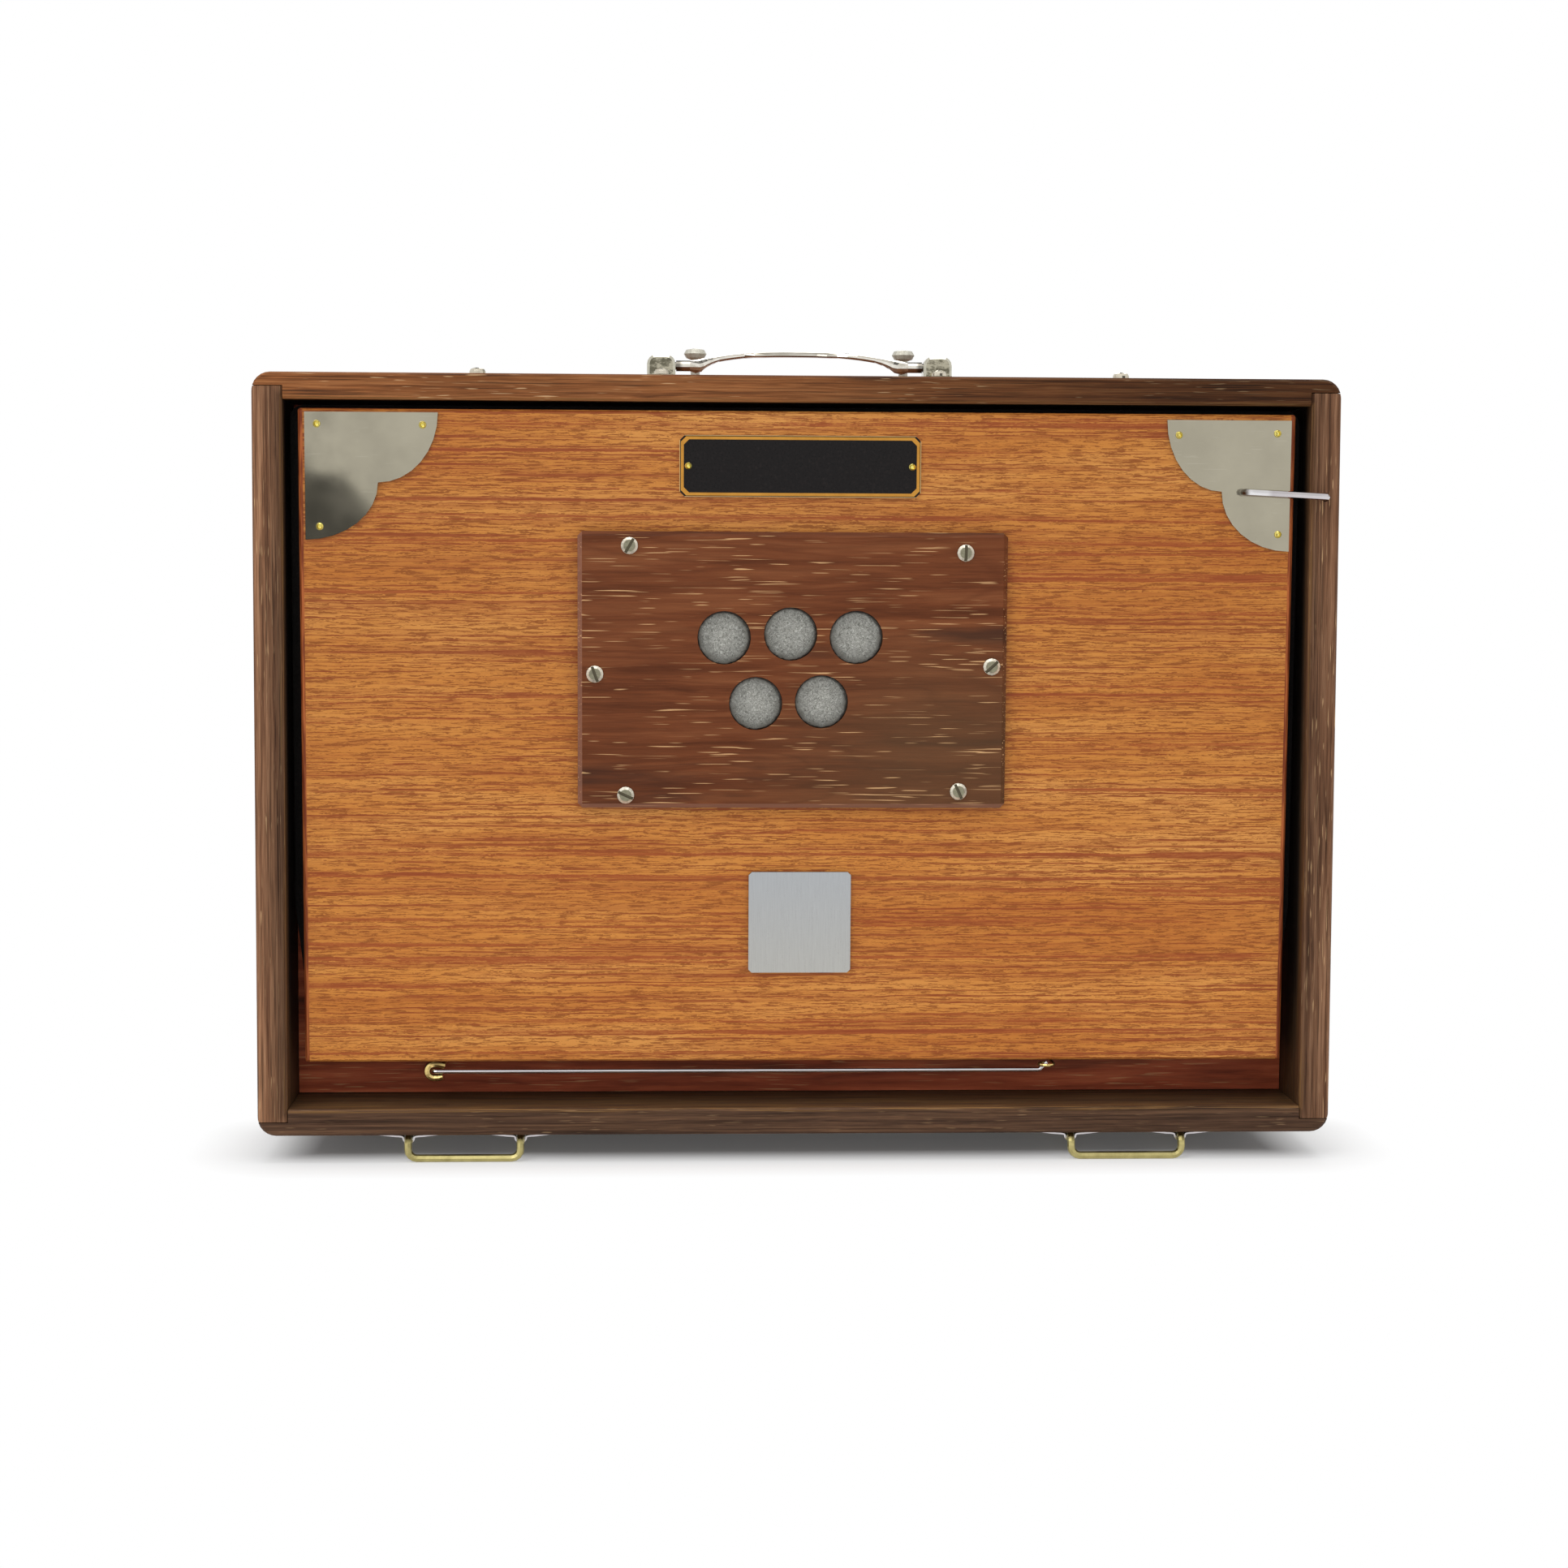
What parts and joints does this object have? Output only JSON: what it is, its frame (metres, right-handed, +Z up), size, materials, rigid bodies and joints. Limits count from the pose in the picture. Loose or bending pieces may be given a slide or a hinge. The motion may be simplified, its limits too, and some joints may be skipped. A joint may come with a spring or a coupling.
{
  "type": "shruti box",
  "caption": "Large bellows-blown drone box: wooden case, leaning pump board with round air holes, wire catch, folded handle, wire feet, turning key tabs behind.",
  "frame": {"origin": "bottom centre of the bounding box, on the floor that the wire feet stand on", "axes": "+X to the right seen from the bellows side, +Y from the bellows side to the key side, +Z up"},
  "size_m": [0.41, 0.091, 0.3133],
  "materials": {
    "dark_wood": "dark brown varnished wood, worn at the edges",
    "red_wood": "red-brown stained wood",
    "laminate": "orange-brown wood laminate with a fine straight grain, satin",
    "leather": "thin undyed leather",
    "bellows_cloth": "black pleated bellows cloth",
    "felt": "grey felt",
    "steel": "bright steel, lightly scratched",
    "chrome": "chrome plated wire",
    "brass": "plain brass, slightly dulled",
    "black_plate": "black enamel with a gold border, bare",
    "badge_metal": "brushed plate, bare"
  },
  "bodies": {
    "case": {"case_top": "dark_wood", "case_bottom": "dark_wood", "case_left": "dark_wood", "case_right": "dark_wood", "centre_board": "red_wood", "key_panel": "red_wood", "reservoir_flap": "leather", "bellows_cloth": "bellows_cloth", "bellows_spring_left": "steel", "bellows_spring_right": "steel", "hinge_rod": "steel", "top_screw_left": "steel", "top_screw_right": "steel", "bracket_screw_left": "steel", "bracket_screw_right": "steel", "foot_strap_left_outer": "steel", "foot_strap_left_inner": "steel", "foot_strap_right_outer": "steel", "foot_strap_right_inner": "steel", "handle_bracket_left": "chrome", "handle_bracket_right": "chrome", "handle_stop_left": "chrome", "handle_stop_right": "chrome", "hinge_eye_left": "brass", "hinge_eye_right": "brass", "reed_plate": "brass"},
    "pump": {"pump_board": "laminate", "inlet_plate": "red_wood", "inlet_felt": "felt", "intake_flap": "leather", "corner_plate_left": "steel", "corner_plate_right": "steel", "name_plate": "black_plate", "badge_plate": "badge_metal", "inlet_screw_1": "steel", "inlet_screw_2": "steel", "inlet_screw_3": "steel", "inlet_screw_4": "steel", "inlet_screw_5": "steel", "inlet_screw_6": "steel"},
    "catch": {"catch_hook": "chrome"},
    "handle": {"handle": "chrome"},
    "foot_left": {"foot_wire_left": "brass"},
    "foot_right": {"foot_wire_right": "brass"},
    "key_01": {"key_01": "brass"},
    "key_02": {"key_02": "brass"},
    "key_03": {"key_03": "brass"},
    "key_04": {"key_04": "brass"},
    "key_05": {"key_05": "brass"},
    "key_06": {"key_06": "brass"},
    "key_07": {"key_07": "brass"},
    "key_08": {"key_08": "brass"},
    "key_09": {"key_09": "brass"},
    "key_10": {"key_10": "brass"},
    "key_11": {"key_11": "brass"},
    "key_12": {"key_12": "brass"},
    "key_13": {"key_13": "brass"}
  },
  "joints": [
    {"name": "bellows_pump", "type": "hinge", "parent": "case", "child": "pump", "pos_m": [0, -0.027, 0.0331], "axis": [1, 0, 0], "range_deg": [-4, 0], "stiffness_Nm_per_rad": 3, "springref_deg": 17.19, "deforming": ["bellows_cloth", "bellows_spring_left", "bellows_spring_right"]},
    {"name": "catch_turn", "type": "hinge", "parent": "case", "child": "catch", "pos_m": [0.1995, -0.0441, 0.2543], "axis": [0, -1, 0], "range_deg": [0, 78]},
    {"name": "handle_lift", "type": "hinge", "parent": "case", "child": "handle", "pos_m": [0.0014, 0.003, 0.3048], "axis": [1, 0, 0], "range_deg": [0, 80]},
    {"name": "foot_slide_left", "type": "slide", "parent": "case", "child": "foot_left", "axis": [0, -1, 0], "range_m": [0, 0.03]},
    {"name": "foot_slide_right", "type": "slide", "parent": "case", "child": "foot_right", "axis": [0, -1, 0], "range_m": [0, 0.03]},
    {"name": "key_turn_01", "type": "hinge", "parent": "case", "child": "key_01", "pos_m": [-0.162, 0.0315, 0.1737], "axis": [0, 1, 0], "range_deg": [0, 60]},
    {"name": "key_turn_02", "type": "hinge", "parent": "case", "child": "key_02", "pos_m": [-0.135, 0.0315, 0.1737], "axis": [0, 1, 0], "range_deg": [0, 60]},
    {"name": "key_turn_03", "type": "hinge", "parent": "case", "child": "key_03", "pos_m": [-0.108, 0.0315, 0.1737], "axis": [0, 1, 0], "range_deg": [0, 60]},
    {"name": "key_turn_04", "type": "hinge", "parent": "case", "child": "key_04", "pos_m": [-0.081, 0.0315, 0.1737], "axis": [0, 1, 0], "range_deg": [0, 60]},
    {"name": "key_turn_05", "type": "hinge", "parent": "case", "child": "key_05", "pos_m": [-0.054, 0.0315, 0.1737], "axis": [0, 1, 0], "range_deg": [0, 60]},
    {"name": "key_turn_06", "type": "hinge", "parent": "case", "child": "key_06", "pos_m": [-0.027, 0.0315, 0.1737], "axis": [0, 1, 0], "range_deg": [0, 60]},
    {"name": "key_turn_07", "type": "hinge", "parent": "case", "child": "key_07", "pos_m": [0, 0.0315, 0.1737], "axis": [0, 1, 0], "range_deg": [0, 60]},
    {"name": "key_turn_08", "type": "hinge", "parent": "case", "child": "key_08", "pos_m": [0.027, 0.0315, 0.1737], "axis": [0, 1, 0], "range_deg": [0, 60]},
    {"name": "key_turn_09", "type": "hinge", "parent": "case", "child": "key_09", "pos_m": [0.054, 0.0315, 0.1737], "axis": [0, 1, 0], "range_deg": [0, 60]},
    {"name": "key_turn_10", "type": "hinge", "parent": "case", "child": "key_10", "pos_m": [0.081, 0.0315, 0.1737], "axis": [0, 1, 0], "range_deg": [0, 60]},
    {"name": "key_turn_11", "type": "hinge", "parent": "case", "child": "key_11", "pos_m": [0.108, 0.0315, 0.1737], "axis": [0, 1, 0], "range_deg": [0, 60]},
    {"name": "key_turn_12", "type": "hinge", "parent": "case", "child": "key_12", "pos_m": [0.135, 0.0315, 0.1737], "axis": [0, 1, 0], "range_deg": [0, 60]},
    {"name": "key_turn_13", "type": "hinge", "parent": "case", "child": "key_13", "pos_m": [0.162, 0.0315, 0.1737], "axis": [0, 1, 0], "range_deg": [0, 60]}
  ]
}
